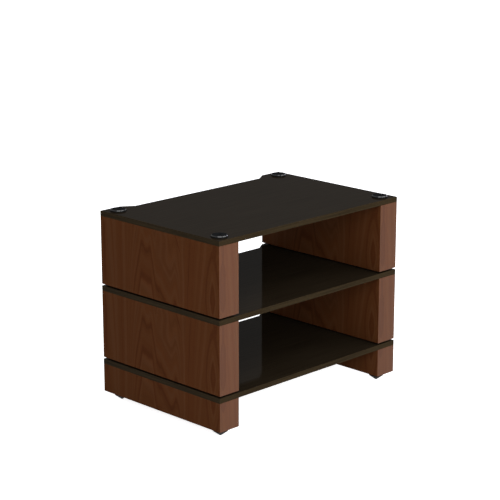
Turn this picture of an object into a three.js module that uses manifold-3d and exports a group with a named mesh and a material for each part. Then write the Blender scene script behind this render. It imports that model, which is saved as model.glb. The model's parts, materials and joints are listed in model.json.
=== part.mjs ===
// Audio equipment rack of three stacked tiers, in millimetres, +Z up
// The origin is on the floor under the middle of the rack, +X runs along the front and +Y to the back
// Each tier is a shelf on two thick side panels, and stands on the discs of the tier below it

import * as THREE from 'three';
import { mergeVertices } from 'three/addons/utils/BufferGeometryUtils.js';
import Module from 'manifold-3d';

const wasm = await Module();
wasm.setup();

// Rack and boards
const rackWidth = 600;
const rackDepth = 400;
const panelThickness = 60;
const tierPanelHeight = 165.4;
const basePanelHeight = 69.2;
const shelfThickness = 12.4;

// Cable notch in the rear edge of every shelf, as wide as the bay, with sloping ends
const notchDepth = 21;
const notchSlope = 31;

// Discs on the shelves, and feet under the base, centred on the panels' thickness
const supportInset = 30;
const discDiameter = 38;
const discHeight = 4.4;
const discBedDepth = 2;
const discBedClearance = 0.3;
const discRimDrop = 1.9;
const discRimWidth = 1.5;
const discSeatWidth = 4.5;
const discDishDepth = 0.6;
const discFloorThickness = 1.4;

// Screw under each disc, which holds the shelf down on its panel
const screwDiameter = 5;
const screwLength = 32;
const screwPointLength = 5;
const screwHeadDiameter = 10;
const screwHeadHeight = 3.2;
const screwHeadRoom = 0.3;
const screwDriveDiameter = 4;
const screwDriveDepth = 1.6;

// Threaded insert in the underside of each panel, for a foot or a locating stud
const threadDiameter = 8;
const insertDiameter = 12;
const insertLength = 22;
const insertCollarDiameter = 16;
const insertCollarHeight = 1.5;
const studLength = 18;
const studChamfer = 0.8;

// Pin of a locating stud, which drops into the socket of the disc below
const pinDiameter = 6;
const pinNose = 1;
const pinSideClearance = 0.6;
const pinEndClearance = 0.4;

// Cone foot
const footFlangeDiameter = 36;
const footFlangeHeight = 8.5;
const footFlangeChamfer = 0.8;
const footConeHeight = 12;
const footTipDiameter = 4;

// Fits and cuts
const fastenerClearance = 0.25;
const holeEndClearance = 1;
const cutOverrun = 1;

// Sides in a full turn, which sets how round the turned pieces are
const discSides = 24;
const hardwareSides = 12;

// Levels of one disc and its seat, counted from the shelf's upper face
const discRadius = discDiameter / 2;
const socketRadius = pinDiameter / 2 + pinSideClearance;
const socketFloor = discFloorThickness - discBedDepth;
const pinLength = discHeight - socketFloor - pinEndClearance;
const counterboreDepth = screwHeadHeight + screwHeadRoom;
const screwSeat = shelfThickness - discBedDepth - counterboreDepth;

const footHeight = footFlangeHeight + footConeHeight;

const corners = [
  { name: 'front_left', x: -1, y: -1 },
  { name: 'front_right', x: 1, y: -1 },
  { name: 'rear_left', x: -1, y: 1 },
  { name: 'rear_right', x: 1, y: 1 },
];

const walnutVeneer = surface(0x452718, 0.45, 0);
const blackStainedBoard = surface(0x2d2a25, 0.35, 0);
const glossBlackResin = surface(0x121314, 0.15, 0);
const blackPaintedSteel = surface(0x141414, 0.4, 0.2);
const zincPlatedSteel = surface(0xb4b6b8, 0.35, 1);
const turnedBrass = surface(0xb08d4a, 0.35, 1);

function surface(color, roughness, metalness) {
  return new THREE.MeshStandardMaterial({ color, roughness, metalness });
}

function solidOf(geometry) {
  const bare = geometry.index ? geometry.toNonIndexed() : geometry.clone();
  bare.deleteAttribute('normal');
  bare.deleteAttribute('uv');
  const merged = mergeVertices(bare);
  return new wasm.Manifold(new wasm.Mesh({
    numProp: 3,
    vertProperties: new Float32Array(merged.attributes.position.array),
    triVerts: new Uint32Array(merged.index.array),
  }));
}

function geometryOf(solid) {
  const { vertProperties, triVerts } = solid.getMesh();
  const geometry = new THREE.BufferGeometry();
  geometry.setAttribute('position', new THREE.BufferAttribute(vertProperties, 3));
  geometry.setIndex(new THREE.BufferAttribute(triVerts, 1));
  geometry.computeVertexNormals();
  return geometry;
}

// A turned piece from radius and height pairs, listed from its foot up its outside to its top
function turned(profile, sides) {
  const points = profile.map(([radius, height]) => new THREE.Vector2(radius, height));
  return new THREE.LatheGeometry(points, sides).rotateX(Math.PI / 2);
}

// A round cutter between two heights, with its sides in line with those of the piece that it fits
function roundCutter(radius, low, high, x, y, sides) {
  return turned([[0, low], [radius, low], [radius, high], [0, high]], sides).translate(x, y, 0);
}

function drilled(geometry, cutters) {
  let solid = solidOf(geometry);
  for (const cutter of cutters) {
    solid = solid.subtract(solidOf(cutter));
  }
  return geometryOf(solid);
}

function cornerPlace(corner) {
  return {
    x: corner.x * (rackWidth - panelThickness) / 2,
    y: corner.y * (rackDepth / 2 - supportInset),
  };
}

// Board with a shallow notch in its rear edge, drilled and bedded for the screws and discs
function shelfGeometry() {
  const side = rackWidth / 2;
  const rear = rackDepth / 2;
  const mouth = side - panelThickness;
  const outline = new THREE.Shape([
    new THREE.Vector2(-side, -rear),
    new THREE.Vector2(side, -rear),
    new THREE.Vector2(side, rear),
    new THREE.Vector2(mouth, rear),
    new THREE.Vector2(mouth - notchSlope, rear - notchDepth),
    new THREE.Vector2(notchSlope - mouth, rear - notchDepth),
    new THREE.Vector2(-mouth, rear),
    new THREE.Vector2(-side, rear),
  ]);
  const board = new THREE.ExtrudeGeometry(outline, { depth: shelfThickness, bevelEnabled: false });
  const bedFloor = shelfThickness - discBedDepth;
  const above = shelfThickness + cutOverrun;
  const cutters = corners.flatMap((corner) => {
    const { x, y } = cornerPlace(corner);
    const shank = screwDiameter / 2 + fastenerClearance;
    const head = screwHeadDiameter / 2 + fastenerClearance;
    return [
      roundCutter(discRadius + discBedClearance, bedFloor, above, x, y, discSides),
      roundCutter(head, screwSeat, above, x, y, hardwareSides),
      roundCutter(shank, -cutOverrun, above, x, y, hardwareSides),
    ];
  });
  return drilled(board, cutters);
}

// Thick panel with two screw holes in its top edge and two insert holes in its underside
function panelGeometry(height) {
  const block = new THREE.BoxGeometry(panelThickness, rackDepth, height).translate(0, 0, height / 2);
  const screwHoleFloor = height + screwSeat - screwLength - holeEndClearance;
  const cutters = [-1, 1].flatMap((end) => {
    const y = end * (rackDepth / 2 - supportInset);
    const shank = screwDiameter / 2 + fastenerClearance;
    const insert = insertDiameter / 2 + fastenerClearance;
    const collar = insertCollarDiameter / 2 + fastenerClearance;
    return [
      roundCutter(shank, screwHoleFloor, height + cutOverrun, 0, y, hardwareSides),
      roundCutter(insert, -cutOverrun, insertLength + holeEndClearance, 0, y, hardwareSides),
      roundCutter(collar, -cutOverrun, insertCollarHeight, 0, y, hardwareSides),
    ];
  });
  return drilled(block, cutters);
}

// Round puck bedded in the shelf, with a bevelled rim, a seat ring, a shallow dish and a socket
function discGeometry() {
  const seatOuter = discRadius - discRimWidth;
  const seatInner = seatOuter - discSeatWidth;
  return turned([
    [0, -discBedDepth],
    [discRadius, -discBedDepth],
    [discRadius, discHeight - discRimDrop],
    [seatOuter, discHeight],
    [seatInner, discHeight],
    [socketRadius, discHeight - discDishDepth],
    [socketRadius, socketFloor],
    [0, socketFloor],
  ], discSides);
}

// Pan head screw, counted from the seat of its head
function screwGeometry() {
  const shank = screwDiameter / 2;
  const drive = screwDriveDiameter / 2;
  return turned([
    [0, -screwLength],
    [shank, screwPointLength - screwLength],
    [shank, 0],
    [screwHeadDiameter / 2, 0],
    [screwHeadDiameter / 2, screwHeadHeight],
    [drive, screwHeadHeight],
    [drive, screwHeadHeight - screwDriveDepth],
    [0, screwHeadHeight - screwDriveDepth],
  ], hardwareSides);
}

// Sleeve with a collar that lies flush with the panel's underside
function insertGeometry() {
  const bore = threadDiameter / 2 + fastenerClearance;
  const collar = insertCollarDiameter / 2;
  const sleeve = insertDiameter / 2;
  return turned([
    [bore, 0],
    [collar, 0],
    [collar, insertCollarHeight],
    [sleeve, insertCollarHeight],
    [sleeve, insertLength],
    [bore, insertLength],
    [bore, 0],
  ], hardwareSides);
}

// Stud flush with the panel's underside, with a plain pin below it
function locatingStudGeometry() {
  const pin = pinDiameter / 2;
  const thread = threadDiameter / 2;
  return turned([
    [0, -pinLength],
    [pin - pinNose, -pinLength],
    [pin, pinNose - pinLength],
    [pin, 0],
    [thread, 0],
    [thread, studLength - studChamfer],
    [thread - studChamfer, studLength],
    [0, studLength],
  ], hardwareSides);
}

// Foot with a threaded stud above its flange and a blunt cone below
function coneFootGeometry() {
  const flange = footFlangeDiameter / 2;
  const thread = threadDiameter / 2;
  return turned([
    [0, -footHeight],
    [footTipDiameter / 2, -footHeight],
    [flange, -footFlangeHeight],
    [flange, -footFlangeChamfer],
    [flange - footFlangeChamfer, 0],
    [thread, 0],
    [thread, studLength - studChamfer],
    [thread - studChamfer, studLength],
    [0, studLength],
  ], discSides);
}

function piece(name, geometry, material, x, y, z) {
  const mesh = new THREE.Mesh(geometry, material);
  mesh.name = name;
  mesh.position.set(x, y, z);
  return mesh;
}

// One tier, counted from the underside of its panels, with a foot or a stud in each insert
function tierGroup(tier, panelHeight, support) {
  const group = new THREE.Group();
  const shelfTop = panelHeight + shelfThickness;
  group.add(piece(`${tier}_shelf`, shelfGeometry(), blackStainedBoard, 0, 0, panelHeight));
  for (const [side, sign] of [['left', -1], ['right', 1]]) {
    const x = sign * (rackWidth - panelThickness) / 2;
    group.add(piece(`${tier}_${side}_panel`, panelGeometry(panelHeight), walnutVeneer, x, 0, 0));
  }
  for (const corner of corners) {
    const { x, y } = cornerPlace(corner);
    const label = `${tier}_${corner.name}`;
    group.add(piece(`${label}_disc`, discGeometry(), glossBlackResin, x, y, shelfTop));
    group.add(piece(`${label}_screw`, screwGeometry(), zincPlatedSteel, x, y, panelHeight + screwSeat));
    group.add(piece(`${label}_insert`, insertGeometry(), turnedBrass, x, y, 0));
    group.add(piece(`${label}_${support.name}`, support.geometry(), support.material, x, y, 0));
  }
  return group;
}

const coneFoot = { name: 'cone_foot', geometry: coneFootGeometry, material: blackPaintedSteel };
const locatingStud = { name: 'locating_stud', geometry: locatingStudGeometry, material: zincPlatedSteel };

const rack = new THREE.Group();
let level = footHeight;
for (const [tier, panelHeight, support] of [
  ['base', basePanelHeight, coneFoot],
  ['middle', tierPanelHeight, locatingStud],
  ['top', tierPanelHeight, locatingStud],
]) {
  const group = tierGroup(tier, panelHeight, support);
  group.position.z = level;
  rack.add(group);
  level += panelHeight + shelfThickness + discHeight;
}

export default rack;
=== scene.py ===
"""Audio equipment rack: three stacked tiers, each a black stained shelf on two thick walnut panels.

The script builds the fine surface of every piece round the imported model, dresses it in procedural
materials and sets up a plain studio for the photograph's view. Lengths inside the classes are in
millimetres and become metres where a mesh joins the scene.
"""

import json
import logging
import math
from abc import ABC, abstractmethod
from collections.abc import Callable, Mapping, Sequence
from dataclasses import dataclass
from enum import Enum
from functools import cache, partial
from typing import Any, ClassVar

import bmesh
import bpy
import numpy as np
from mathutils import Matrix, Quaternion, Vector

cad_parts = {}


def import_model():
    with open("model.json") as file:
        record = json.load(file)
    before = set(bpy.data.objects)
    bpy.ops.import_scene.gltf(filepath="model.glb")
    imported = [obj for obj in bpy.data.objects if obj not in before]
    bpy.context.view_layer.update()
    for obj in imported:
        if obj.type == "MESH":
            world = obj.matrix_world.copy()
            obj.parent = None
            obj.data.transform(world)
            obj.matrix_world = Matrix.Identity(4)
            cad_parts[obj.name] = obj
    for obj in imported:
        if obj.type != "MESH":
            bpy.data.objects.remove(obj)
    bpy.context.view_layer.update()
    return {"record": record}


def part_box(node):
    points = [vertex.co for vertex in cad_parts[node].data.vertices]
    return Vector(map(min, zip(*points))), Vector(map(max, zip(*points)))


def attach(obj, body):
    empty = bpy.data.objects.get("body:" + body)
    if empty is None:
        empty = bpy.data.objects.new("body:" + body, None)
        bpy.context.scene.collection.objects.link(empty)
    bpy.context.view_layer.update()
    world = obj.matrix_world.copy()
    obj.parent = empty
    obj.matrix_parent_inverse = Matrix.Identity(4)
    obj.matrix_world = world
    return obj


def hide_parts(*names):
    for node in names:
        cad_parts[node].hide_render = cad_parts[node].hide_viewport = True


log = logging.getLogger("rack")

Colour = tuple[float, float, float, float]
Point = tuple[float, float]
Mesh = bpy.types.Mesh
Piece = bpy.types.Object
Node = bpy.types.Node
# What can be linked to an input: a socket, or a node for the first of its outputs in use
Source = Node | bpy.types.NodeSocket
# add_node with its tree filled in
Adder = Callable[..., Node]

METRES_PER_MM = 0.001
WHITE: Colour = (1.0, 1.0, 1.0, 1.0)
X, Y, Z = Vector((1, 0, 0)), Vector((0, 1, 0)), Vector((0, 0, 1))
# Mesh attribute that places a corner in the figure of its side
FIGURE = "figure"
# Range that the values of a noise seldom leave
NOISE_RANGE: Point = (0.3, 0.7)
# Inputs of a Mix node that take its two colours
UNDER, OVER = 6, 7


def linear(hex_code: str) -> Colour:
    """Turn an sRGB hex colour into the linear colour that the shaders take.

    Args:
        hex_code: Six hex digits after a #, such as "#4d2c19".

    Returns:
        Linear red, green and blue, and an alpha of 1.
    """
    channels = [int(hex_code[i : i + 2], 16) / 255 for i in (1, 3, 5)]
    red, green, blue = (c / 12.92 if c <= 0.04045 else ((c + 0.055) / 1.055) ** 2.4 for c in channels)
    return red, green, blue, 1.0


def feed(node: Node, inputs: Mapping[str | int, Any]) -> None:
    """Give a node's inputs their values and links.

    Args:
        node: The node.
        inputs: A value, or the source to link, for each input by its name or number.
    """
    for key, value in inputs.items():
        if isinstance(value, Node):
            value = next(socket for socket in value.outputs if socket.enabled)
        if isinstance(value, bpy.types.NodeSocket):
            node.id_data.links.new(value, node.inputs[key])
        else:
            node.inputs[key].default_value = value


def add_node(
    tree: bpy.types.NodeTree, kind: str, inputs: Mapping[str | int, Any] | None = None, **settings: Any
) -> Node:
    """Add a node to a tree, with its settings, input values and links.

    Args:
        tree: The node tree that gets the node.
        kind: Blender's name for the node's type, without the leading "ShaderNode".
        inputs: A value, or the source to link, for each input by its name or number.
        settings: Properties of the node. Two stand for lists: stops fills a colour ramp with
            (place, colour) pairs, and points fills a curve with (x, y) pairs.

    Returns:
        The new node.
    """
    node = tree.nodes.new(f"ShaderNode{kind}")
    for name, value in settings.items():
        if name == "stops":
            ramp = node.color_ramp.elements
            for _ in value[2:]:
                ramp.new(1.0)
            for element, (place, colour) in zip(ramp, value, strict=True):
                element.position = place
                element.color = colour
        elif name == "points":
            curve = node.mapping.curves[0].points
            for _ in value[2:]:
                curve.new(1.0, 1.0)
            for point, place in zip(curve, value, strict=True):
                point.location = place
                point.handle_type = "AUTO_CLAMPED"
            node.mapping.update()
        else:
            setattr(node, name, value)
    feed(node, inputs or {})
    return node


# Patterns


def ranges(start: Point, end: Point = (0.0, 1.0)) -> dict[str, float]:
    """Inputs that carry the values from one range over to another."""
    return dict(zip(("From Min", "From Max", "To Min", "To Max"), (*start, *end), strict=True))


def grain(node: Adder, place: Source, size: Point, detail: float) -> Node:
    """Noise whose marks measure so many millimetres across and down a side, drawn out along the grain."""
    stretched = node("VectorMath", {0: place, 1: (1 / size[0], 1 / size[1], 0)}, operation="MULTIPLY")
    return node("TexNoise", {"Vector": stretched, "Scale": 1.0, "Detail": detail})


def ring_noise(node: Adder, ring: Source, width: float) -> Node:
    """Noise that changes from ring to ring, about once in so many millimetres."""
    share = node("Math", {0: ring, 1: width}, operation="DIVIDE")
    return node("TexNoise", {"W": share, "Scale": 1.0, "Detail": 3.0}, noise_dimensions="1D")


def shaded(node: Adder, colour: Source, noise: Node, shades: Point) -> Node:
    """Colour with its brightness led by a noise, from one shade at the low end to another at the high end."""
    shade = node("MapRange", {"Value": noise, **ranges(NOISE_RANGE, shades)})
    return node("VectorMath", {0: colour, "Scale": shade}, operation="SCALE")


def two_tone(node: Adder, noise: Node, edges: Point, colours: tuple[str, str]) -> Node:
    """Blend of two hex colours, which goes from the first to the second between two values of a noise."""
    stops = [(value, linear(colour)) for value, colour in zip(edges, colours, strict=True)]
    return node("ValToRGB", {"Fac": noise}, stops=stops)


# Finishes


@dataclass(frozen=True, kw_only=True)
class Finish(ABC):
    """A surface finish: one procedural material with its own colour, gloss and fine relief."""

    name: str
    metallic: float = 0.0
    specular: float = 0.0
    coat: float = 0.0
    coat_roughness: float = 0.05
    coat_ior: float = 1.5
    # Roughness at the low and at the high end of its pattern, and the pattern's own range
    matt: Point = (0.5, 0.5)
    pattern_range: Point = (0.0, 1.0)
    relief: float = 0.1
    relief_depth: float = 0.1

    @abstractmethod
    def paint(self, node: Adder) -> dict[str, Any]:
        """What feeds each of the shader's inputs that the finish varies."""

    def skin(self, node: Adder, colour: Source, sheen: Node, height: Node) -> dict[str, Any]:
        """Give a colour its sheen and its relief.

        Args:
            node: Adds a node.
            colour: The colour.
            sheen: Pattern that the roughness follows.
            height: Pattern that the relief follows.

        Returns:
            What feeds the shader's colour, roughness and normal.
        """
        bump = {"Strength": self.relief, "Distance": self.relief_depth * METRES_PER_MM}
        return {
            "Base Color": colour,
            "Roughness": node("MapRange", {"Value": sheen, **ranges(self.pattern_range, self.matt)}),
            "Normal": node("Bump", {"Height": height, **bump}),
        }

    def build(self) -> bpy.types.Material:
        """Make the material.

        Returns:
            A new material with this finish.
        """
        material = bpy.data.materials.new(self.name)
        material.use_nodes = True
        even = {
            "Metallic": self.metallic,
            "Specular IOR Level": self.specular,
            "Coat Weight": self.coat,
            "Coat Roughness": self.coat_roughness,
            "Coat IOR": self.coat_ior,
        }
        tree = material.node_tree
        feed(tree.nodes["Principled BSDF"], even | self.paint(partial(add_node, tree)))
        return material


@cache
def material_of(finish: Finish) -> bpy.types.Material:
    """Material of a finish, made the first time that it is asked for."""
    return finish.build()


@dataclass(frozen=True, kw_only=True)
class BoardFinish(Finish):
    """A finish on a board: it follows the figure of the board's sides, and wears along their edges."""

    bare: str
    wear: float
    wear_patch: float = 14.0
    wear_edges: Point = (0.4, 0.65)

    @abstractmethod
    def figure(self, node: Adder, place: Source) -> tuple[Source, Node]:
        """Colour of one side, and the fine grain that its sheen and relief follow."""

    def paint(self, node: Adder) -> dict[str, Any]:
        """Draw the figure, and rub it thin in patches along the rounded edges.

        Args:
            node: Adds a node.

        Returns:
            What feeds the shader's colour, roughness and normal.
        """
        place = node("Attribute", attribute_name=FIGURE).outputs["Vector"]
        colour, fine = self.figure(node, place)
        patches = node("TexNoise", {"Vector": place, "Scale": 1 / self.wear_patch, "Detail": 3.0})
        rubbed = node("MapRange", {"Value": patches, **ranges(self.wear_edges, (0.0, self.wear))})
        edge = node("SeparateXYZ", {0: place}).outputs["Z"]
        share = node("Math", {0: rubbed, 1: edge}, operation="MULTIPLY")
        worn = node("Mix", {"Factor": share, UNDER: colour, OVER: linear(self.bare)}, data_type="RGBA")
        return self.skin(node, worn, fine, fine)


class Tone(Enum):
    """Colours of the walnut's growth rings."""

    DARK = "#422311"
    BROWN = "#462613"
    RED = "#482814"
    MID = "#482915"
    LIGHT = "#4a2b17"
    PALE = "#4c2e1b"


DARK, BROWN, RED, MID, LIGHT, PALE = Tone


@dataclass(frozen=True)
class Profile:
    """A line along the panel's depth, by points: millimetres from the rear, and its value there."""

    points: Sequence[Point]
    low: float = 0.0
    high: float = 1.0
    depth: float = 400.0

    def read(self, node: Adder, along: Node) -> Node:
        """Read the line.

        Args:
            node: Adds a node.
            along: Millimetres from the rear.

        Returns:
            Its value there.
        """
        shares = [(x / self.depth, (y - self.low) / (self.high - self.low)) for x, y in self.points]
        share = node("Math", {0: along, 1: self.depth}, operation="DIVIDE")
        line = node("FloatCurve", {"Value": share}, points=shares)
        return node("MapRange", {"Value": line, **ranges((0.0, 1.0), (self.low, self.high))})


@dataclass(frozen=True)
class Bands:
    """Growth rings from one height to another, with the heights of each tone's rings."""

    low: float
    high: float
    rings: Mapping[Tone, Sequence[float]]

    def colour(self, node: Adder, ring: Node) -> Node:
        """Colour the rings.

        Args:
            node: Adds a node.
            ring: Height of the ring.

        Returns:
            Its colour.
        """
        share = node("MapRange", {"Value": ring, **ranges((self.low, self.high))})
        rings = sorted((height, tone.value) for tone, heights in self.rings.items() for height in heights)
        stops = [((height - self.low) / (self.high - self.low), linear(tone)) for height, tone in rings]
        return node("ValToRGB", {"Fac": share}, stops=stops)


@dataclass(frozen=True)
class Bend:
    """How far a noise carries the rings off their line: its size, its detail and its reach."""

    size: Point
    detail: float
    reach: Point

    def carry(self, node: Adder, place: Source, bent: Source) -> Node:
        """Carry a place off, by the noise where it was at first."""
        noise = grain(node, place, self.size, self.detail).outputs["Color"]
        return node("VectorMath", {0: noise, 1: (*self.reach, 0), 2: bent}, operation="MULTIPLY_ADD")


@dataclass(frozen=True)
class Knot:
    """A long closed eye or streak in the figure, in millimetres from the rear and down."""

    centre: Point
    half_width: float
    half_height: float
    # Distance, tone and cover of each ring from the middle out, in half widths
    rings: Sequence[tuple[float, Tone, float]]
    # Powers of the distance across and upright: low ones give points, high ones blunt ends
    powers: Point
    # How far it leans across for each millimetre down
    lean: float = 0.0

    def lay(self, node: Adder, place: Node, under: Node) -> Node:
        """Lay the eye over the figure.

        Args:
            node: Adds a node.
            place: Millimetres from the rear edge and down the veneer.
            under: The colour so far.

        Returns:
            The colour with the eye on it.
        """
        off = node("VectorMath", {0: place, 1: (*self.centre, 0)}, operation="SUBTRACT")
        across = (1 / self.half_width, -self.lean / self.half_width, 0)
        upright = (0, 1 / self.half_height, 0)
        parts = []
        for axis, power in zip((across, upright), self.powers, strict=True):
            share = node("VectorMath", {0: off, 1: axis}, operation="DOT_PRODUCT")
            share = node("Math", {0: share}, operation="ABSOLUTE")
            parts.append(node("Math", {0: share, 1: power}, operation="POWER"))
        far = node("Math", {0: parts[0], 1: parts[1]}, operation="ADD")
        far = node("Math", {0: far, 1: 1 / self.powers[0]}, operation="POWER")
        outer = self.rings[-1][0]
        share = node("Math", {0: far, 1: outer}, operation="DIVIDE")
        stops = [(at / outer, (*linear(tone.value)[:3], cover)) for at, tone, cover in self.rings]
        ramp = node("ValToRGB", {"Fac": share}, stops=stops)
        return node("Mix", {"Factor": ramp.outputs["Alpha"], UNDER: under, OVER: ramp}, data_type="RGBA")


# Growth ring that lies at the top edge, by its height. Valleys of this line are the cathedrals, and its
# steep stretches are the straight grain.
RISE = Profile((
    (0, 1500), (24, 1220), (41, 1015), (54, 860), (70, 670), (86, 480), (98, 325), (114, 160),
    (127, 98), (136, 62), (143, 37), (151, 41), (160, 45), (168, 47), (175, 50), (180, 74), (185, 100),
    (190, 124), (196, 133), (207, 139), (214, 150), (224, 163), (240, 181), (247, 174), (255, 159),
    (264, 180), (272, 240), (280, 520), (285, 600), (290, 580), (295, 527), (305, 420), (320, 190),
    (335, 55), (346, -30), (358, -110), (380, -280),
), -300, 1800)
# How far a ring climbs for each millimetre down the panel: 1 in the cathedrals, less beside them
CLIMB = Profile((
    (0, -0.4), (12, -0.9), (32, -1.2), (50, -0.5), (66, 0.0), (84, 0.1), (96, 0.9), (110, 1.0),
    (270, 1.0), (280, 0.3), (290, 0.3), (300, 1.0), (400, 1.0),
), -1.3, 1.1)
# Where the rings sag near the top of the veneer, and where the cathedral's peak is split in two: the
# share of it, how far the rings move at the top edge, and how far down that reaches
DENTS = (
    (Profile(((0, 0), (182, 0), (200, 1), (224, 1), (233, 0.7), (240, 0), (400, 0))), -62.0, 75.0),
    (Profile(((0, 0), (146, 0), (153, 0.5), (160, 1), (167, 0.6), (173, 0), (400, 0))), 18.0, 105.0),
)
CATHEDRALS = Bands(-260, 260, {
    DARK: (-80, -72, -5, 3),
    BROWN: (-65,),
    RED: (-50, -18, 48, 258),
    MID: (-170, -124, -56, -11, 9, 38, 64, 88, 150),
    LIGHT: (-230, -114, -87, -42, -33, -27, 18, 58, 120, 200),
    PALE: (-100, 27, 75, 104),
})
# Straight grain towards the rear, whose rings lie above the cathedrals'
STRAIGHT = Bands(260, 1500, {
    BROWN: (662,),
    RED: (640, 682, 1420, 1470),
    MID: (260, 388, 420, 605, 735, 790, 1065, 1385),
    LIGHT: (312, 350, 450, 840, 1030, 1095, 1290, 1345),
    PALE: (490, 530, 570, 885, 935, 985, 1130, 1185, 1225, 1262),
})
# Straight grain in front of the cathedrals
FRONT = Bands(-260, 640, {
    DARK: (376, 398),
    BROWN: (170,),
    RED: (-40, 136, 220, 300, 350, 420, 500, 540),
    MID: (-160, -60, -10, 90, 460, 570),
    LIGHT: (-140, -88, 30, 60, 600),
    PALE: (-114,),
})
BENDS = (Bend((60.0, 80.0), 1.0, (6.0, 10.0)), Bend((6.0, 14.0), 2.0, (1.4, 8.0)))
EYE = (
    (0.0, BROWN, 1.0), (0.6, DARK, 1.0), (0.95, DARK, 1.0), (1.1, MID, 1.0), (1.3, PALE, 1.0),
    (1.65, LIGHT, 1.0), (1.9, MID, 1.0), (2.25, LIGHT, 1.0), (2.55, MID, 1.0), (2.75, DARK, 1.0),
    (3.15, DARK, 0.9), (3.5, MID, 0.0),
)
STREAK = ((0.0, DARK, 1.0), (0.8, DARK, 1.0), (1.2, MID, 0.0))
KNOTS = (
    Knot((378.0, 126.0), 7.5, 35.0, EYE, (1.5, 1.5)),
    Knot((385.0, -8.0), 7.0, 52.0, STREAK, (1.0, 2.0)),
    Knot((264.0, 14.0), 2.2, 30.0, STREAK, (1.0, 2.0), lean=0.4),
    Knot((12.0, 82.0), 4.5, 78.0, STREAK, (1.0, 4.0)),
)
# Streaks across the narrow front and back, and their dark heart
EDGE_BANDS = Bands(0, 60, {
    BROWN: (39.6,),
    RED: (16.8, 25.2, 44.4),
    MID: (0, 60),
    LIGHT: (30, 34.8, 51.6),
})
EDGE_BEND = Bend((30.0, 90.0), 2.0, (5.0, 0.0))
HEART = ((0.0, BROWN, 0.8), (0.9, DARK, 0.8), (1.15, MID, 0.0))
EDGE_HEARTS = (
    Knot((13.0, 95.0), 8.5, 60.0, HEART, (1.0, 5.0)),
    Knot((13.0, 10.0), 3.6, 34.0, HEART, (1.0, 5.0)),
)
# Tones of the end grain, by the value of its noise
END_BANDS = Bands(0, 1, {DARK: (0.35,), BROWN: (0.5,), MID: (0.7,)})


class Cut(Enum):
    """Which way the walnut is cut on a face of a panel."""

    FACE = "face"
    EDGE = "edge"
    END = "end"


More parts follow.
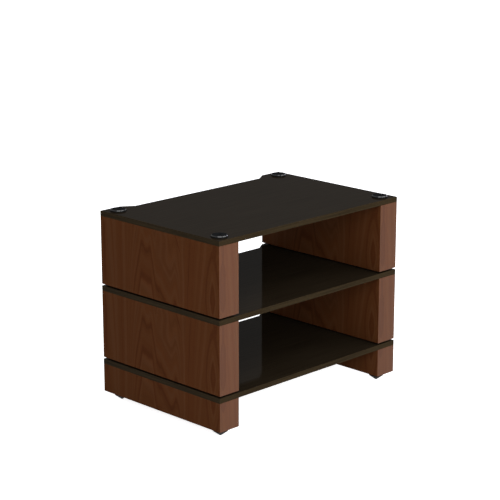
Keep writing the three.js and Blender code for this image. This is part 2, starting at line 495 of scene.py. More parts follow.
@dataclass(frozen=True, kw_only=True)
class Walnut(BoardFinish):
    """Walnut, sawn, sanded and lacquered satin: warm brown, with upright cathedral figure."""

    coat: float = 0.02
    coat_roughness: float = 0.35
    matt: Point = (0.52, 0.4)
    pattern_range: Point = NOISE_RANGE
    relief: float = 0.12
    relief_depth: float = 0.2
    bare: str = PALE.value
    wear: float = 0.5
    cut: Cut = Cut.FACE
    # Real pores are about 0.2 mm wide, too fine for the render, so they are drawn coarser
    pore_size: Point = (0.9, 45.0)
    pore_shades: Point = (0.93, 1.06)
    face_streak_width: float = 26.0
    face_streak_shades: Point = (0.92, 1.09)
    edge_streak_width: float = 4.0
    # Shades of the edge's streaks. They lie higher than the face's, so the whole edge is drawn lighter:
    # partly its paler open grain, partly painted sheen of the lit front edges
    edge_streak_and_painted_sheen_shades: Point = (1.0, 1.2)
    # How far the edge's streaks lean to the right for each millimetre down
    edge_lean: float = 0.06
    end_ring_width: float = 6.0
    end_centre: Point = (30.0, -260.0)
    # How far from the rear the straight grain in front of the cathedrals starts
    front_start: float = 286.0

    def figure(self, node: Adder, place: Source) -> tuple[Source, Node]:
        """Draw the figure of this cut, under its pores.

        Args:
            node: Adds a node.
            place: Millimetres across and down the side, and 1 on its rounded edges.

        Returns:
            Its colour, and the pores.
        """
        colour = {Cut.FACE: self._face, Cut.EDGE: self._edge, Cut.END: self._end}[self.cut](node, place)
        pores = grain(node, place, self.pore_size, detail=3.0)
        return shaded(node, colour, pores, self.pore_shades), pores

    def _face(self, node: Adder, place: Source) -> Node:
        """Colour the broad side: two nested cathedrals between stretches of straight grain.

        Args:
            node: Adds a node.
            place: Millimetres from the rear edge and down the veneer.

        Returns:
            The colour.
        """
        bent = place
        for bend in BENDS:
            bent = bend.carry(node, place, bent)
        middle = [sum(reach) / 2 for reach in zip(*(bend.reach for bend in BENDS), strict=True)]
        bent = node("VectorMath", {0: bent, 1: (*middle, 0)}, operation="SUBTRACT")
        parts = node("SeparateXYZ", {0: bent}).outputs
        along, down = parts["X"], parts["Y"]
        fall = node("Math", {0: CLIMB.read(node, along), 1: down}, operation="MULTIPLY")
        ring = node("Math", {0: RISE.read(node, along), 1: fall}, operation="SUBTRACT")
        for dent, depth, reach in DENTS:
            fading = {"Value": down, **ranges((0.0, reach), (depth, 0.0))}
            fade = node("MapRange", fading, interpolation_type="SMOOTHSTEP")
            ring = node("Math", {0: dent.read(node, along), 1: fade, 2: ring}, operation="MULTIPLY_ADD")
        colour = CATHEDRALS.colour(node, ring)
        beyond = node("Math", {0: ring, 1: CATHEDRALS.high}, operation="GREATER_THAN")
        ahead = node("Math", {0: along, 1: self.front_start}, operation="GREATER_THAN")
        for there, bands in ((beyond, STRAIGHT), (ahead, FRONT)):
            mix = {"Factor": there, UNDER: colour, OVER: bands.colour(node, ring)}
            colour = node("Mix", mix, data_type="RGBA")
        colour = shaded(node, colour, ring_noise(node, ring, self.face_streak_width), self.face_streak_shades)
        for knot in KNOTS:
            colour = knot.lay(node, bent, colour)
        return colour

    def _edge(self, node: Adder, place: Source) -> Node:
        """Colour the narrow front and back: leaning streaks beside one long dark heart, drawn lighter than
        the face partly as painted sheen.

        Args:
            node: Adds a node.
            place: Millimetres across the edge and down it.

        Returns:
            The colour.
        """
        bent = EDGE_BEND.carry(node, place, place)
        across = node("VectorMath", {0: bent, 1: (1, -self.edge_lean, 0)}, operation="DOT_PRODUCT")
        streaks = ring_noise(node, across, self.edge_streak_width)
        # The streaks' shades also lighten the whole edge, partly as painted sheen
        colour = shaded(node, EDGE_BANDS.colour(node, across), streaks, self.edge_streak_and_painted_sheen_shades)
        for heart in EDGE_HEARTS:
            colour = heart.lay(node, bent, colour)
        return colour

    def _end(self, node: Adder, place: Source) -> Node:
        """Colour the top and bottom: growth rings as shallow arcs across the panel.

        Args:
            node: Adds a node.
            place: Millimetres across the panel and along it.

        Returns:
            The colour.
        """
        spoke = node("VectorMath", {0: place, 1: (*self.end_centre, 0)}, operation="SUBTRACT")
        radius = node("VectorMath", {0: spoke}, operation="LENGTH")
        return END_BANDS.colour(node, ring_noise(node, radius, self.end_ring_width))


FACE_VENEER = Walnut(name="satin_lacquered_walnut_face_veneer")
EDGE_LIPPING = Walnut(name="satin_lacquered_walnut_edge_lipping", cut=Cut.EDGE, coat=0.34)
END_GRAIN = Walnut(name="satin_lacquered_walnut_end_grain", cut=Cut.END)


@dataclass(frozen=True, kw_only=True)
class StainedBoard(BoardFinish):
    """Board stained black and lacquered: a deep brown black, with faint grain along the front."""

    name: str = "black_stained_board_flat"
    coat: float = 0.05
    coat_roughness: float = 0.06
    matt: Point = (0.42, 0.3)
    bare: str = "#4a3c2a"
    wear: float = 0.3
    stain: str = "#221c14"
    dark_grain: str = "#1c160f"
    grain_size: Point = (160.0, 2.2)
    grain_edges: Point = (0.4, 0.58)

    def figure(self, node: Adder, place: Source) -> tuple[Source, Node]:
        """Draw the grain as long thin streaks that barely lift off the stain."""
        streaks = grain(node, place, self.grain_size, detail=4.0)
        return two_tone(node, streaks, self.grain_edges, (self.dark_grain, self.stain)), streaks


FLAT_BOARD = StainedBoard()
BOARD_EDGE = StainedBoard(name="black_stained_board_edge", stain="#2a2113", dark_grain="#20180c")


@dataclass(frozen=True, kw_only=True)
class HardwareFinish(Finish):
    """A finish on the small round pieces: two close colours in soft clouds, and a fine relief."""

    colour: str
    clouded: str
    # Millimetres that a cloud measures, how fine it goes, and the values of the noise at its edges
    cloud: float
    cloud_detail: float = 2.0
    cloud_edges: Point = (0.45, 0.75)

    def marks(self, node: Adder, place: Source, clouds: Node) -> tuple[Node, Node]:
        """Patterns that the sheen and the relief follow: the clouds, if the finish has no others."""
        return clouds, clouds

    def paint(self, node: Adder) -> dict[str, Any]:
        """Cloud the colour and lay the relief.

        Args:
            node: Adds a node.

        Returns:
            What feeds the shader's colour, roughness and normal.
        """
        place = node("TexCoord").outputs["Object"]
        scale = 1 / (self.cloud * METRES_PER_MM)
        clouds = node("TexNoise", {"Vector": place, "Scale": scale, "Detail": self.cloud_detail})
        colour = two_tone(node, clouds, self.cloud_edges, (self.colour, self.clouded))
        return self.skin(node, colour, *self.marks(node, place, clouds))


@dataclass(frozen=True, kw_only=True)
class CastResin(HardwareFinish):
    """Black resin, cast and polished: near black, with sharp highlights along its rim."""

    name: str = "polished_black_resin_bright"
    coat: float = 0.27
    coat_roughness: float = 0.08
    coat_ior: float = 2.0
    matt: Point = (0.1, 0.24)
    relief: float = 0.05
    colour: str = "#0f1012"
    clouded: str = "#141517"
    cloud: float = 6.0
    cloud_detail: float = 3.0
    cloud_edges: Point = (0.45, 0.7)


@dataclass(frozen=True, kw_only=True)
class PaintedSteel(HardwareFinish):
    """Steel, turned and powder coated black: an even semi-matt black with a fine pebbled skin."""

    name: str = "powder_coated_steel"
    specular: float = 0.02
    matt: Point = (0.38, 0.55)
    relief: float = 0.25
    colour: str = "#080808"
    clouded: str = "#121110"
    cloud: float = 8.4
    # Real pebbles are about 0.3 mm across, too fine for the render, so they are drawn coarser
    pebble: float = 0.7

    def marks(self, node: Adder, place: Source, clouds: Node) -> tuple[Node, Node]:
        """The clouds for the sheen, and pebbles for the relief."""
        scale = 1 / (self.pebble * METRES_PER_MM)
        return clouds, node("TexNoise", {"Vector": place, "Scale": scale, "Detail": 2.0})


@dataclass(frozen=True, kw_only=True)
class TurnedMetal(HardwareFinish):
    """Metal as it comes off the lathe: fine rings of tool marks that draw the light out sideways."""

    metallic: float = 1.0
    specular: float = 0.5
    matt: Point = (0.25, 0.42)
    relief: float = 0.15
    relief_depth: float = 0.05
    cloud: float = 5.0
    cloud_edges: Point = (0.35, 0.65)
    # Real tool marks are about 0.1 mm apart, too fine for the render, so they are drawn coarser
    tool_mark: float = 0.25

    def marks(self, node: Adder, place: Source, clouds: Node) -> tuple[Node, Node]:
        """Draw the tool marks, as rings round the axis that climb with the height.

        Args:
            node: Adds a node.
            place: Place on the piece, in metres.
            clouds: The clouds of the colour, which aren't used.

        Returns:
            The marks, for the sheen and for the relief.
        """
        height = node("SeparateXYZ", {0: place}).outputs["Z"]
        flat = node("VectorMath", {0: place, 1: (1, 1, 0)}, operation="MULTIPLY")
        radius = node("VectorMath", {0: flat}, operation="LENGTH")
        reach = node("Math", {0: radius, 1: height}, operation="ADD")
        noise = {"W": reach, "Scale": 1 / (self.tool_mark * METRES_PER_MM), "Detail": 2.0}
        rings = node("TexNoise", noise, noise_dimensions="1D")
        return rings, rings


BRIGHT_RESIN = CastResin()
SATIN_RESIN = CastResin(name="polished_black_resin_satin", coat=0.02)
POWDER_COAT = PaintedSteel()
ZINC = TurnedMetal(name="zinc_plated_steel", colour="#a7abaf", clouded="#c3c6c9")
BRASS = TurnedMetal(name="turned_brass", colour="#a57f3f", clouded="#c79f55")


# Mesh building


class RingForm(Enum):
    """Outline of one ring of a turned piece."""

    ROUND = "round"
    THREAD = "thread"
    HEXAGON = "hexagon"


@dataclass(frozen=True)
class Ring:
    """One ring of a turned piece, with its radius and height in millimetres."""

    radius: float
    height: float
    form: RingForm = RingForm.ROUND
    depth: float = 0.0
    pitch: float = 1.0

    def radius_at(self, angle: float) -> float:
        """Radius of the ring in one direction.

        Args:
            angle: The direction, in radians.

        Returns:
            The radius in millimetres.
        """
        if self.form is RingForm.THREAD:
            turn = (self.height / self.pitch - angle / math.tau) % 1.0
            return self.radius - self.depth * abs(2 * turn - 1)
        if self.form is RingForm.HEXAGON:
            sixth = math.pi / 3
            return self.radius / math.cos((angle % sixth) - sixth / 2)
        return self.radius


def rounded(corners: Sequence[tuple[float, float, float]]) -> list[Ring]:
    """Turn an outline with rounded corners into rings.

    Args:
        corners: Radius, height and rounding radius of each corner of the outline, in order.

    Returns:
        The rings, from the first corner to the last.
    """
    steps = 4
    rings = []
    for index, (x, y, rounding) in enumerate(corners):
        if rounding == 0 or index in (0, len(corners) - 1):
            rings.append(Ring(x, y))
            continue
        here = Vector((x, y))
        back = (Vector(corners[index - 1][:2]) - here).normalized()
        ahead = (Vector(corners[index + 1][:2]) - here).normalized()
        half = back.angle(ahead) / 2
        centre = here + (back + ahead).normalized() * rounding / math.sin(half)
        start = here + back * rounding / math.tan(half) - centre
        end = here + ahead * rounding / math.tan(half) - centre
        for step in range(steps + 1):
            spoke = start.normalized().slerp(end.normalized(), step / steps) * rounding
            rings.append(Ring(centre.x + spoke.x, centre.y + spoke.y))
    return rings


def thread(radius: float, low: float, high: float, pitch: float) -> list[Ring]:
    """Rings of an outside thread, with a run-out at each end.

    Args:
        radius: Radius over the crests.
        low: Height where it starts.
        high: Height where it ends.
        pitch: Distance from crest to crest.

    Returns:
        The rings from low to high.
    """
    rings_per_pitch = 6
    depth_per_pitch = 0.54
    count = math.ceil((high - low) / pitch * rings_per_pitch)
    rings = []
    for index in range(count + 1):
        height = low + (high - low) * index / count
        fade = min(1.0, (height - low) / pitch, (high - height) / pitch)
        rings.append(Ring(radius, height, RingForm.THREAD, depth_per_pitch * pitch * max(fade, 0.0), pitch))
    return rings


def turned(rings: Sequence[Ring], segments: int, hollow: bool = False) -> Mesh:
    """Build a closed turned mesh, in millimetres, about the Z axis.

    Args:
        rings: Its rings in order. A first or last ring of radius 0 becomes a point.
        segments: Faces in a full turn.
        hollow: True if the last ring joins the first, as on a sleeve.

    Returns:
        The mesh.
    """
    bm = bmesh.new()
    rows = []
    for ring in rings:
        row = []
        for segment in range(segments if ring.radius else 1):
            angle = math.tau * segment / segments
            radius = ring.radius_at(angle)
            row.append(bm.verts.new((radius * math.cos(angle), radius * math.sin(angle), ring.height)))
        rows.append(row)
    pairs = list(zip(rows, rows[1:], strict=False))
    if hollow:
        pairs.append((rows[-1], rows[0]))
    for below, above in pairs:
        for here in range(segments):
            there = (here + 1) % segments
            corners = [below[here % len(below)], below[there % len(below)]]
            corners += [above[there % len(above)], above[here % len(above)]]
            bm.faces.new(dict.fromkeys(corners))
    bmesh.ops.recalc_face_normals(bm, faces=bm.faces)
    return mesh_of(bm)


def drill(bores: Sequence[tuple[float, float, float]], segments: int) -> Mesh:
    """Stepped drill, with the radius of each step and the heights where it starts and ends."""
    walls = [Ring(radius, height) for radius, *heights in bores for height in heights]
    return turned([Ring(0, walls[0].height), *walls, Ring(0, walls[-1].height)], segments)


def board(outline: Sequence[Point], low: float, high: float, rounding: float) -> Mesh:
    """Build a board of any outline with its edges rounded, in millimetres.

    Args:
        outline: Its corners, counter-clockwise from above.
        low: Height of its underside.
        high: Height of its upper face.
        rounding: How far the edges are rounded in.

    Returns:
        The mesh.
    """
    bm = bmesh.new()
    base = bm.faces.new([bm.verts.new((x, y, low)) for x, y in outline])
    lifted = bmesh.ops.extrude_face_region(bm, geom=[base])["geom"]
    top = [part for part in lifted if isinstance(part, bmesh.types.BMVert)]
    bmesh.ops.translate(bm, verts=top, vec=(0, 0, high - low))
    bmesh.ops.recalc_face_normals(bm, faces=bm.faces)
    edges = {"geom": list(bm.edges), "affect": "EDGES", "offset_type": "OFFSET", "clamp_overlap": True}
    bmesh.ops.bevel(bm, offset=rounding, segments=3, profile=0.5, **edges)
    return mesh_of(bm)


def mesh_of(bm: bmesh.types.BMesh) -> Mesh:
    """Turn a bmesh into a mesh, and free it.

    Args:
        bm: The bmesh.

    Returns:
        The mesh.
    """
    mesh = bpy.data.meshes.new("blank")
    bm.to_mesh(mesh)
    bm.free()
    return mesh


def add_object(name: str, data: bpy.types.ID) -> Piece:
    """Add an object to the scene, at the origin.

    Args:
        name: Its name.
        data: Its mesh, lamp or camera.

    Returns:
        The object.
    """
    item = bpy.data.objects.new(name, data)
    bpy.context.scene.collection.objects.link(item)
    return item


def applied(carrier: Piece) -> Mesh:
    """Apply an object's modifiers, and remove the object.

    Args:
        carrier: The object.

    Returns:
        Its mesh as the modifiers leave it.
    """
    graph = bpy.context.evaluated_depsgraph_get()
    result = bpy.data.meshes.new_from_object(carrier.evaluated_get(graph))
    bpy.data.objects.remove(carrier)
    return result


def cut(mesh: Mesh, cutters: Sequence[tuple[Mesh, Vector]]) -> Mesh:
    """Cut turned shapes out of a mesh.

    Args:
        mesh: The mesh, in millimetres.
        cutters: Each cutter, and a point on its axis.

    Returns:
        A new mesh with the cuts in it.
    """
    body = add_object("uncut", mesh)
    tools = []
    for cutter, place in cutters:
        tool = add_object("cutter", cutter)
        tool.location = place.xy.to_3d()
        modifier = body.modifiers.new("cut", "BOOLEAN")
        modifier.object = tool
        modifier.operation = "DIFFERENCE"
        modifier.solver = "EXACT"
        tools.append(tool)
    bpy.context.view_layer.update()
    result = applied(body)
    for tool in tools:
        bpy.data.objects.remove(tool)
    return result


def smooth(mesh: Mesh, name: str) -> Mesh:
    """Turn a mesh to metres and shade it smooth, with its flats kept flat and its arrises sharp.

    Args:
        mesh: The mesh, in millimetres.
        name: Name of the smooth mesh.

    Returns:
        A new mesh in metres.
    """
    sharp_angle = math.radians(38)
    flats_only = 100
    mesh.transform(Matrix.Scale(METRES_PER_MM, 4))
    mesh.shade_smooth()
    mesh.set_sharp_from_angle(angle=sharp_angle)
    carrier = add_object("unsmoothed", mesh)
    modifier = carrier.modifiers.new("flats", "WEIGHTED_NORMAL")
    modifier.keep_sharp = True
    modifier.weight = flats_only
    result = applied(carrier)
    result.name = name
    return result


@dataclass(frozen=True)
class Side:
    """How one side of a board is dressed: its finish, and where and how its figure lies, in millimetres."""

    finish: Finish
    across: Vector
    down: Vector
    origin: Vector


def dress(mesh: Mesh, sides: Mapping[str, Side]) -> None:
    """Give each face of a board its material, and each corner its place in that side's figure.

    The figure holds millimetres across and down the side, and 1 where the edge is rounded.

    Args:
        mesh: The board's mesh, in metres.
        sides: The side for faces that look along "x", "y" and "z". A face between two takes the first.
    """
    flat_limit = 0.999
    tie = 0.01
    finishes = list(dict.fromkeys(side.finish for side in sides.values()))
    for finish in finishes:
        mesh.materials.append(material_of(finish))
    favour = {name: tie * (len(sides) - place) for place, name in enumerate(sides)}
    figure = mesh.attributes.new(FIGURE, "FLOAT_VECTOR", "CORNER")
    values = np.zeros((len(mesh.loops), 3), np.float32)
    for polygon in mesh.polygons:
        strengths = {name: abs(part) for name, part in zip("xyz", polygon.normal, strict=True)}
        facing = max(sides, key=lambda name: strengths[name] + favour[name])
        side = sides[facing]
        polygon.material_index = finishes.index(side.finish)
        edge = 0.0 if strengths[facing] > flat_limit else 1.0
        for loop in polygon.loop_indices:
            place = mesh.vertices[mesh.loops[loop].vertex_index].co / METRES_PER_MM - side.origin
            values[loop] = (place.dot(side.across), place.dot(side.down), edge)
    figure.data.foreach_set("vector", values.ravel())


# Pieces


@dataclass(frozen=True)
class Seat:
    """Where a piece belongs: the CAD node that it stands for, that node's body and material slot."""

    node: str
    body: str
    slot: str

    def settle(self, mesh: Mesh, finish: str, place: Vector = Vector()) -> Piece:
        """Put a mesh into the scene in place of the CAD node.

        Args:
            mesh: The mesh, in metres.
            finish: The word that is added to the node's name for the piece.
            place: Where the mesh's origin goes, in metres.

        Returns:
            The piece.
        """
        piece = add_object(f"{self.node}_{finish}", mesh)
        piece.location = place
        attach(piece, self.body)
        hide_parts(self.node)
        return piece

    def corners(self) -> tuple[Vector, Vector]:
        """Lowest and highest corner of the node, in millimetres."""
        low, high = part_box(self.node)
        return low / METRES_PER_MM, high / METRES_PER_MM

    def axis(self) -> Vector:
        """Middle of the node's underside, in metres."""
        low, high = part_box(self.node)
        return Vector(((low.x + high.x) / 2, (low.y + high.y) / 2, low.z))


@dataclass
class Board(ABC):
    """A board of the rack, with a cut at each piece of hardware that it takes."""

    seat: Seat
    hardware: Sequence[Seat]

    finish_word: ClassVar[str]
    rounding: ClassVar[float]
    # How far a drill starts outside the board, so that it breaks clean through the face
    overrun: ClassVar[float] = 1.0

    def build(self) -> Piece:
        """Saw the board, cut it and dress its sides.

        Returns:
            The finished piece.
        """
        low, high = self.seat.corners()
        blank = board(self.outline(), low.z, high.z, self.rounding)
        drills = self.drills()
        cutters = [(tool, seat.axis() / METRES_PER_MM) for seat in self.hardware for tool in drills]
        mesh = smooth(cut(blank, cutters), self.seat.node)
        dress(mesh, self.sides())
        return self.seat.settle(mesh, self.finish_word)

    @abstractmethod
    def outline(self) -> list[Point]:
        """Corners of the board, counter-clockwise from above."""

    @abstractmethod
    def drills(self) -> list[Mesh]:
        """Drills for one piece of hardware."""

    @abstractmethod
    def sides(self) -> dict[str, Side]:
        """How each side is dressed, by the axis that it faces along."""


@dataclass
class SidePanel(Board):
    """A thick walnut panel that carries one end of a shelf, drilled for a screw and an insert."""

    veneer_start: float = 0.0
    screw_hole_radius: float = 2.75
    screw_hole_depth: float = 26.1
    insert_hole_radius: float = 6.25
    insert_hole_depth: float = 23.0
    collar_radius: float = 8.25
    collar_depth: float = 1.5
    hole_segments: int = 48

    finish_word = "veneered"
    rounding = 0.7

    def outline(self) -> list[Point]:
        """Corners of a plain rectangle."""
        low, high = self.seat.corners()
        return [(low.x, low.y), (high.x, low.y), (high.x, high.y), (low.x, high.y)]

    def drills(self) -> list[Mesh]:
        """Drills for the insert's hole from below, and for the screw's from above.

        Returns:
            The two drills.
        """
        low, high = (corner.z for corner in self.seat.corners())
        collar_top = low + self.collar_depth
        below = (
            (self.collar_radius, low - self.overrun, collar_top),
            (self.insert_hole_radius, collar_top, low + self.insert_hole_depth),
        )
        above = ((self.screw_hole_radius, high - self.screw_hole_depth, high + self.overrun),)
        return [drill(bores, self.hole_segments) for bores in (below, above)]

    def sides(self) -> dict[str, Side]:
        """Figure the veneer from the rear and the top, and on the base tier from above the panel.

        Returns:
            Each side, by the axis that it faces along.
        """
        low, high = self.seat.corners()
        rear_top = Vector((low.x, high.y, high.z + self.veneer_start))
        return {
            "y": Side(EDGE_LIPPING, X, -Z, rear_top),
            "x": Side(FACE_VENEER, -Y, -Z, rear_top),
            "z": Side(END_GRAIN, X, Y, low),
        }


@dataclass
class Shelf(Board):
    """A thin board with a shallow cable notch in its rear edge, bedded for four discs."""

    panel_thickness: float = 60.0
    notch_depth: float = 21.0
    notch_slope: float = 31.0
    bed_radius: float = 19.3
    bed_depth: float = 2.0
    bed_chamfer: float = 0.3
    head_radius: float = 5.25
    head_depth: float = 3.5
    shank_radius: float = 2.75
    bed_segments: int = 96

    finish_word = "stained"
    rounding = 0.5

    def outline(self) -> list[Point]:
        """Cut the notch into the rear edge of a rectangle.

        Returns:
            The corners.
        """
        low, high = self.seat.corners()
        mouth = high.x - self.panel_thickness
        floor = mouth - self.notch_slope
        notch = high.y - self.notch_depth
        front = [(low.x, low.y), (high.x, low.y), (high.x, high.y)]
        return [*front, (mouth, high.y), (floor, notch), (-floor, notch), (-mouth, high.y), (low.x, high.y)]

    def drills(self) -> list[Mesh]:
        """Drill for one disc: its bed, and the screw's hole in the bed's floor.

        Returns:
            The one drill.
        """
        low, high = (corner.z for corner in self.seat.corners())
        floor = high - self.bed_depth
        seat = floor - self.head_depth
        bores = (
            (self.shank_radius, low - self.overrun, seat),
            (self.head_radius, seat, floor),
            (self.bed_radius, floor, high - self.bed_chamfer),
            (self.bed_radius + self.bed_chamfer, high, high + self.overrun),
        )
        return [drill(bores, self.bed_segments)]

    def sides(self) -> dict[str, Side]:
        """Run the grain of the flats along the front, and stain the edges browner.

        Returns:
            Each side, by the axis that it faces along.
        """
        low, high = self.seat.corners()
        front_top = Vector((low.x, low.y, high.z))
        return {
            "x": Side(BOARD_EDGE, Y, -Z, front_top),
            "y": Side(BOARD_EDGE, X, -Z, front_top),
            "z": Side(FLAT_BOARD, X, Y, front_top),
        }


class TierName(Enum):
    """The three tiers, from the floor up."""

    BASE = "base"
    MIDDLE = "middle"
    TOP = "top"


@dataclass
class TurnedPiece(ABC):
    """A small round piece that repeats at the corners of the rack."""

    segments: int = 48

    part: ClassVar[str]
    slot: ClassVar[str]
    finish: ClassVar[Finish]
    finish_word: ClassVar[str] = "turned"
    tiers: ClassVar[Sequence[TierName]] = tuple(TierName)
    hollow: ClassVar[bool] = False

    @abstractmethod
    def rings(self) -> list[Ring]:
        """Rings of the piece, counted from its underside."""

    def build(self, seats: Sequence[Seat]) -> list[Piece]:
        """Turn the piece once and put a copy at each seat.

        Args:
            seats: The CAD nodes that the copies stand for.

        Returns:
            The copies.
        """
        mesh = smooth(turned(self.rings(), self.segments, self.hollow), type(self).__name__)
        self.dress(mesh)
        return [seat.settle(mesh, self.finish_word, seat.axis()) for seat in seats]

    def dress(self, mesh: Mesh) -> None:
        """Give the piece's mesh its material."""
        mesh.materials.append(material_of(self.finish))


@dataclass
class SupportDisc(TurnedPiece):
    """Gloss disc bedded in a shelf: bevelled rim, seat ring, shallow dish and a socket."""

    segments: int = 96
    radius: float = 19.0
    bedded: float = 2.0
    height: float = 4.4
    rim_drop: float = 1.9
    rim_width: float = 1.5
    seat_width: float = 4.5
    dish_depth: float = 0.6
    socket_radius: float = 3.6
    socket_floor: float = 1.4
    soft_edge: float = 0.35

    part = "disc"
    slot = "gloss_black_resin"
    finish = BRIGHT_RESIN
    finish_word = "polished"

    def rings(self) -> list[Ring]:
        """Outline of the disc, from its underside up its rim and down into the socket.

        Returns:
            The rings.
        """
        top = self.bedded + self.height
        seat_outer = self.radius - self.rim_width
        seat_inner = seat_outer - self.seat_width
        corners = (
            (0, 0, 0),
            (self.radius, 0, self.soft_edge),
            (self.radius, top - self.rim_drop, self.soft_edge),
            (seat_outer, top, self.soft_edge),
            (seat_inner, top, self.soft_edge),
            (self.socket_radius, top - self.dish_depth, self.soft_edge),
            (self.socket_radius, self.socket_floor, 0),
            (0, self.socket_floor, 0),
        )
        return rounded(corners)

    def dress(self, mesh: Mesh) -> None:
        """Polish the rim bright and leave the face satin.

        Args:
            mesh: The disc's mesh, in metres.
        """
        super().dress(mesh)
        mesh.materials.append(material_of(SATIN_RESIN))
        rim = (self.radius - self.rim_width - self.soft_edge) * METRES_PER_MM
        for polygon in mesh.polygons:
            polygon.material_index = int(polygon.center.xy.length < rim)


@dataclass
class StuddedPiece(TurnedPiece):
    """A turned piece whose upper end is a stud, screwed into a panel's insert."""

    stud_radius: float = 4.0
    stud_length: float = 18.0
    stud_chamfer: float = 0.8
    pitch: float = 1.25

    def stud(self, start: float) -> list[Ring]:
        """Thread the stud.

        Args:
            start: Height where it starts.

        Returns:
            Its rings, from the first turn to the chamfered end.
        """
        end = start + self.stud_length
        turns = thread(self.stud_radius, start, end - self.stud_chamfer, self.pitch)
        return [*turns[1:], Ring(self.stud_radius - self.stud_chamfer, end), Ring(0, end)]


@dataclass
class ConeFoot(StuddedPiece):
    """Cone foot with a flange and a threaded stud, which levels the rack."""

    segments: int = 72
    flange_radius: float = 18.0
    flange_height: float = 8.5
    flange_chamfer: float = 0.8
    cone_height: float = 12.0
    tip_radius: float = 2.0
    soft_edge: float = 0.5

    part = "cone_foot"
    slot = "black_painted_steel"
    finish = POWDER_COAT
    finish_word = "powder_coated"
    tiers = (TierName.BASE,)

    def rings(self) -> list[Ring]:
        """Outline of the foot, from its tip up over the flange to the end of the stud.

        Returns:
            The rings.
        """
        flange = self.cone_height + self.flange_height
        corners = (
            (0, 0, 0),
            (self.tip_radius, 0, self.soft_edge),
            (self.flange_radius, self.cone_height, self.soft_edge),
            (self.flange_radius, flange - self.flange_chamfer, self.soft_edge / 2),
            (self.flange_radius - self.flange_chamfer, flange, self.soft_edge / 2),
            (self.stud_radius, flange, 0),
        )
        return [*rounded(corners), *self.stud(flange)]


@dataclass
class PanHeadScrew(TurnedPiece):
    """Pan head screw that holds a shelf down on its panel, under a disc."""

    segments: int = 36
    shank_radius: float = 2.5
    length: float = 32.0
    tip_length: float = 5.0
    head_radius: float = 5.0
    head_height: float = 3.2
    socket_radius: float = 1.9
    socket_depth: float = 1.6
    pitch: float = 2.2
    plain_length: float = 8.0
    seat_edge: float = 0.2
    soft_edge: float = 0.8

    part = "screw"
    slot = "zinc_plated_steel"
    finish = ZINC
    finish_word = "plated"

    def rings(self) -> list[Ring]:
        """Outline of the screw, from its point up to the hexagon socket in its head.

        Returns:
            The rings.
        """
        top = self.length + self.head_height
        floor = top - self.socket_depth
        corners = (
            (self.shank_radius, self.length, 0),
            (self.head_radius, self.length, self.seat_edge),
            (self.head_radius, top, self.soft_edge),
            (self.socket_radius, top, 0),
        )
        spiral = thread(self.shank_radius, self.tip_length, self.length - self.plain_length, self.pitch)
        socket = [Ring(self.socket_radius, height, RingForm.HEXAGON) for height in (top, floor)]
        return [Ring(0, 0), *spiral, *rounded(corners)[:-1], *socket, Ring(0, floor)]


@dataclass
class ThreadedInsert(TurnedPiece):
    """Brass sleeve in a panel's underside, which takes a foot or a locating stud."""

    bore_radius: float = 4.25
    collar_radius: float = 8.0
    collar_height: float = 1.5
    sleeve_radius: float = 6.0
    length: float = 22.0
    pitch: float = 2.5
    soft_edge: float = 0.3

    part = "insert"
    slot = "turned_brass"
    finish = BRASS
    hollow = True

    def rings(self) -> list[Ring]:
        """Outline of the sleeve, from its bore out over the collar and up its outer thread.

        Returns:
            The rings.
        """
        corners = (
            (self.bore_radius, 0, 0),
            (self.collar_radius, 0, self.soft_edge),
            (self.collar_radius, self.collar_height, 0),
            (self.sleeve_radius, self.collar_height, 0),
        )
        barbs = thread(self.sleeve_radius, self.collar_height, self.length, self.pitch)
        return [*rounded(corners), *barbs[1:], Ring(self.bore_radius, self.length)]


@dataclass
class LocatingStud(StuddedPiece):
    """Stud in an upper tier's insert, with a plain pin that drops into the disc below."""

    pin_radius: float = 3.0
    pin_length: float = 4.6
    pin_nose: float = 1.0
    soft_edge: float = 0.4

    part = "locating_stud"
    slot = "zinc_plated_steel"
    finish = ZINC
    finish_word = "plated"
    tiers = (TierName.MIDDLE, TierName.TOP)

    def rings(self) -> list[Ring]:
        """Outline of the stud, from the pin's nose to the end of its thread.

        Returns:
            The rings.
        """
        corners = (
            (0, 0, 0),
            (self.pin_radius - self.pin_nose, 0, self.soft_edge),
            (self.pin_radius, self.pin_nose, self.soft_edge),
            (self.pin_radius, self.pin_length, 0),
            (self.stud_radius, self.pin_length, 0),
        )
        return [*rounded(corners), *self.stud(self.pin_length)]


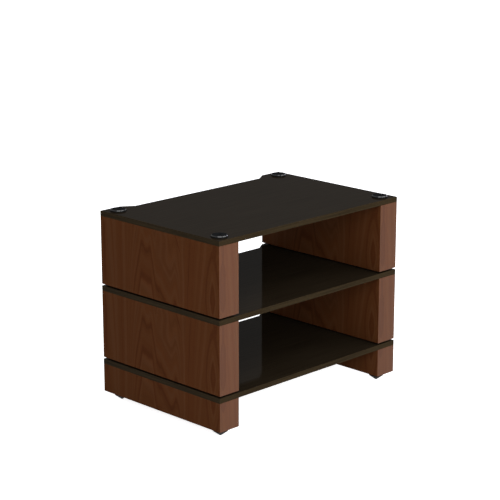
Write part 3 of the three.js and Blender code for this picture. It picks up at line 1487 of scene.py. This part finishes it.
@dataclass
class Rack:
    """The whole rack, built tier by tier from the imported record."""

    record: Mapping[str, Any]
    base_veneer_start: float = 130.0

    corners: ClassVar[Sequence[str]] = ("front_left", "front_right", "rear_left", "rear_right")

    def seat(self, node: str, slot: str) -> Seat:
        """Seat of the piece that stands for a CAD node, with its body found in the record and the slot that
        it is given.
        """
        bodies = self.record["behaviour"]["bodies"]
        return Seat(node, next(name for name, nodes in bodies.items() if node in nodes), slot)

    def corner_seats(self, tier: TierName, kind: type[TurnedPiece], side: str = "") -> list[Seat]:
        """Seats of one kind of hardware at a tier's corners, on the left or right only if side says so."""
        corners = [corner for corner in self.corners if corner.endswith(side)]
        return [self.seat(f"{tier.value}_{corner}_{kind.part}", kind.slot) for corner in corners]

    def build(self) -> list[Piece]:
        """Build every tier, then the hardware that repeats at their corners.

        Returns:
            All pieces.
        """
        pieces = [piece for tier in TierName for piece in self._boards(tier)]
        for hardware in (SupportDisc(), PanHeadScrew(), ThreadedInsert(), LocatingStud(), ConeFoot()):
            seats = [seat for tier in hardware.tiers for seat in self.corner_seats(tier, type(hardware))]
            pieces += hardware.build(seats)
        return pieces

    def _boards(self, tier: TierName) -> list[Piece]:
        """Build a tier's shelf and its two panels.

        Args:
            tier: The tier.

        Returns:
            The three boards.
        """
        shelf = self.seat(f"{tier.value}_shelf", "black_stained_board")
        boards: list[Board] = [Shelf(shelf, self.corner_seats(tier, SupportDisc))]
        start = self.base_veneer_start if tier is TierName.BASE else 0.0
        for side in ("left", "right"):
            panel = self.seat(f"{tier.value}_{side}_panel", "walnut_veneer")
            boards.append(SidePanel(panel, self.corner_seats(tier, ThreadedInsert, side), start))
        return [part.build() for part in boards]


# Studio


def seen(node: Adder) -> Node:
    """Tell what is seen from what is lit.

    Args:
        node: Adds a node.

    Returns:
        1 for the camera and for what mirrors or passes light, and 0 for other light.
    """
    rays = node("LightPath").outputs
    either = node("Math", {0: rays["Is Camera Ray"], 1: rays["Is Glossy Ray"]}, operation="MAXIMUM")
    return node("Math", {0: either, 1: rays["Is Transmission Ray"]}, operation="MAXIMUM")


def away(azimuth: float, elevation: float) -> Vector:
    """Direction that lies so many degrees from the front to the right, and above the floor."""
    turn, rise = math.radians(azimuth), math.radians(elevation)
    return Vector((math.sin(turn) * math.cos(rise), -math.cos(turn) * math.cos(rise), math.sin(rise)))


@dataclass(frozen=True, kw_only=True)
class FloorPaint(Finish):
    """Studio floor, rolled matt white: it goes to plain white in the picture and keeps a soft shadow."""

    name: str = "matt_white_floor"
    colour: str = "#f4f4f4"
    lift: float = 0.9

    def paint(self, node: Adder) -> dict[str, Any]:
        """Add a little white for the camera, and for what the object reflects.

        Args:
            node: Adds a node.

        Returns:
            What feeds the shader's colour, roughness and emission.
        """
        return {
            "Base Color": linear(self.colour),
            "Roughness": 1.0,
            "Emission Color": WHITE,
            "Emission Strength": node("Math", {0: seen(node), 1: self.lift}, operation="MULTIPLY"),
        }


@dataclass(frozen=True)
class SoftBox:
    """A rectangular studio lamp that looks at the middle of the rack. Its sizes are in metres."""

    name: str
    azimuth: float
    elevation: float
    distance: float
    width: float
    height: float
    radiance: float
    roll: float = 0.0
    tint: str = "#ffffff"

    def build(self, target: Vector) -> None:
        """Hang the lamp.

        Args:
            target: The point that it looks at, in metres.
        """
        data = bpy.data.lights.new(self.name, "AREA")
        data.shape = "RECTANGLE"
        data.size = self.width
        data.size_y = self.height
        data.color = linear(self.tint)[:3]
        # Blender takes the lamp's power: its radiance, in the units of a white surface, times pi and its area
        data.energy = self.radiance * math.pi * self.width * self.height
        lamp = add_object(self.name, data)
        direction = away(self.azimuth, self.elevation)
        lamp.location = target + direction * self.distance
        turn = direction.to_track_quat("Z", "Y") @ Quaternion(Z, math.radians(self.roll))
        lamp.rotation_euler = turn.to_euler()


@dataclass
class Studio:
    """Pale floor, white surroundings and soft lamps. Sizes are in metres."""

    floor_size: float = 40.0
    ambient: float = 0.264
    target: Vector = Vector((0.0, 0.0, 0.24))

    lamps: ClassVar[Sequence[SoftBox]] = (
        SoftBox("front_softbox", 0.0, 8.0, 3.0, 1.4, 1.4, 8.0),
        SoftBox("left_softbox", -36.0, 28.0, 3.0, 2.4, 1.2, 5.7),
        SoftBox("left_overhead_strip", -41.9, 63.2, 5.0, 3.4, 1.0, 5.0, roll=-1.5),
        SoftBox("right_overhead_strip", 39.4, 47.7, 5.0, 3.6, 1.0, 5.0, roll=-31.2),
        SoftBox("right_softbox", 90.0, 19.0, 3.0, 0.8, 0.8, 10.0, tint="#efecff"),
        SoftBox("rear_softbox", 180.0, 3.0, 3.0, 1.2, 0.7, 8.5),
    )

    def build(self) -> None:
        """Lay the floor, light the surroundings and hang the lamps."""
        half = self.floor_size / 2
        corners = [(-half, -half, 0), (half, -half, 0), (half, half, 0), (-half, half, 0)]
        mesh = bpy.data.meshes.new("studio_floor")
        mesh.from_pydata(corners, [], [(0, 1, 2, 3)])
        mesh.materials.append(material_of(FloorPaint()))
        floor = add_object("studio_floor", mesh)
        self._surround()
        for lamp in self.lamps:
            lamp.build(self.target)

    def _surround(self) -> None:
        """Make the world white where it is seen or reflected, and an even soft light elsewhere."""
        world = bpy.data.worlds.new("white_surroundings")
        world.use_nodes = True
        bpy.context.scene.world = world
        world.node_tree.nodes.clear()
        node = partial(add_node, world.node_tree)
        lit = node("Background", {"Color": WHITE, "Strength": self.ambient})
        shown = node("Background", {"Color": WHITE, "Strength": 1.0})
        mixed = node("MixShader", {0: seen(node), 1: lit, 2: shown})
        node("OutputWorld", {"Surface": mixed})


@dataclass(frozen=True)
class PhotoCamera:
    """Camera at the photograph's viewing angle, found by fitting the rack's edges in the picture."""

    azimuth: float = -45.096
    elevation: float = 15.019
    distance: float = 4.1415
    focal_pixels: float = 1691.135
    image_pixels: float = 500.0
    sensor: float = 36.0
    aim: tuple[float, float, float] = (0.0567, 0.0606, 0.3296)

    def build(self) -> None:
        """Set the camera up and make it the scene's."""
        data = bpy.data.cameras.new("photo_camera")
        data.sensor_width = self.sensor
        data.lens = self.focal_pixels / self.image_pixels * self.sensor
        camera = add_object("photo_camera", data)
        camera.location = Vector(self.aim) + away(self.azimuth, self.elevation) * self.distance
        camera.rotation_euler = (math.radians(90 - self.elevation), 0, math.radians(self.azimuth))
        bpy.context.scene.camera = camera


def main() -> None:
    """Build the rack round the frame, dress it and set up the studio."""
    logging.basicConfig(level=logging.INFO, format="%(name)s: %(message)s")
    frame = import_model()
    PhotoCamera().build()
    for piece in Rack(frame["record"]).build():
        log.info("%s is built, with %d faces", piece.name, len(piece.data.polygons))
    Studio().build()
    bpy.context.scene.view_settings.view_transform = "Standard"


if __name__ == "__main__":
    main()
